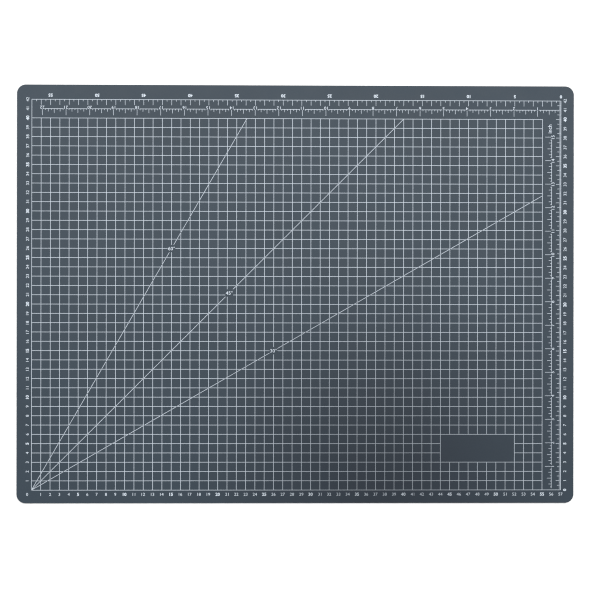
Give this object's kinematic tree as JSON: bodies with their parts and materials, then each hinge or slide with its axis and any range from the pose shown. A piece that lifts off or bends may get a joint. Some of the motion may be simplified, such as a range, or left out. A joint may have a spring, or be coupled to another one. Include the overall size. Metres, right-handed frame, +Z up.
{
  "type": "cutting mat",
  "caption": "Flat self-healing cutting mat with rounded corners, a printed centimetre grid, centimetre and inch rulers along its edges, and angle lines from one corner.",
  "frame": {"origin": "centre of the mat's underside", "axes": "+X along the long edge to the right of a reader at the upright numerals, +Y away from the reader, +Z up out of the printed face"},
  "size_m": [0.6, 0.45, 0.003],
  "materials": {
    "top_skin": "fine satin grain, slate grey soft PVC",
    "tie_ply": "matt dark grey PVC",
    "core_sheet": "matt pale grey stiff PVC",
    "bottom_skin": "fine matt grain, slate grey soft PVC",
    "print_ink": "matt pale screen-print ink"
  },
  "bodies": {
    "root": {"bottom_skin_ply": "bottom_skin", "lower_tie_ply": "tie_ply", "core_ply": "core_sheet", "upper_tie_ply": "tie_ply", "top_skin_ply": "top_skin", "lattice_print": "print_ink", "centimetre_print": "print_ink", "inch_print": "print_ink", "centimetre_numerals": "print_ink", "inch_numerals": "print_ink", "angle_labels": "print_ink"}
  },
  "joints": []
}
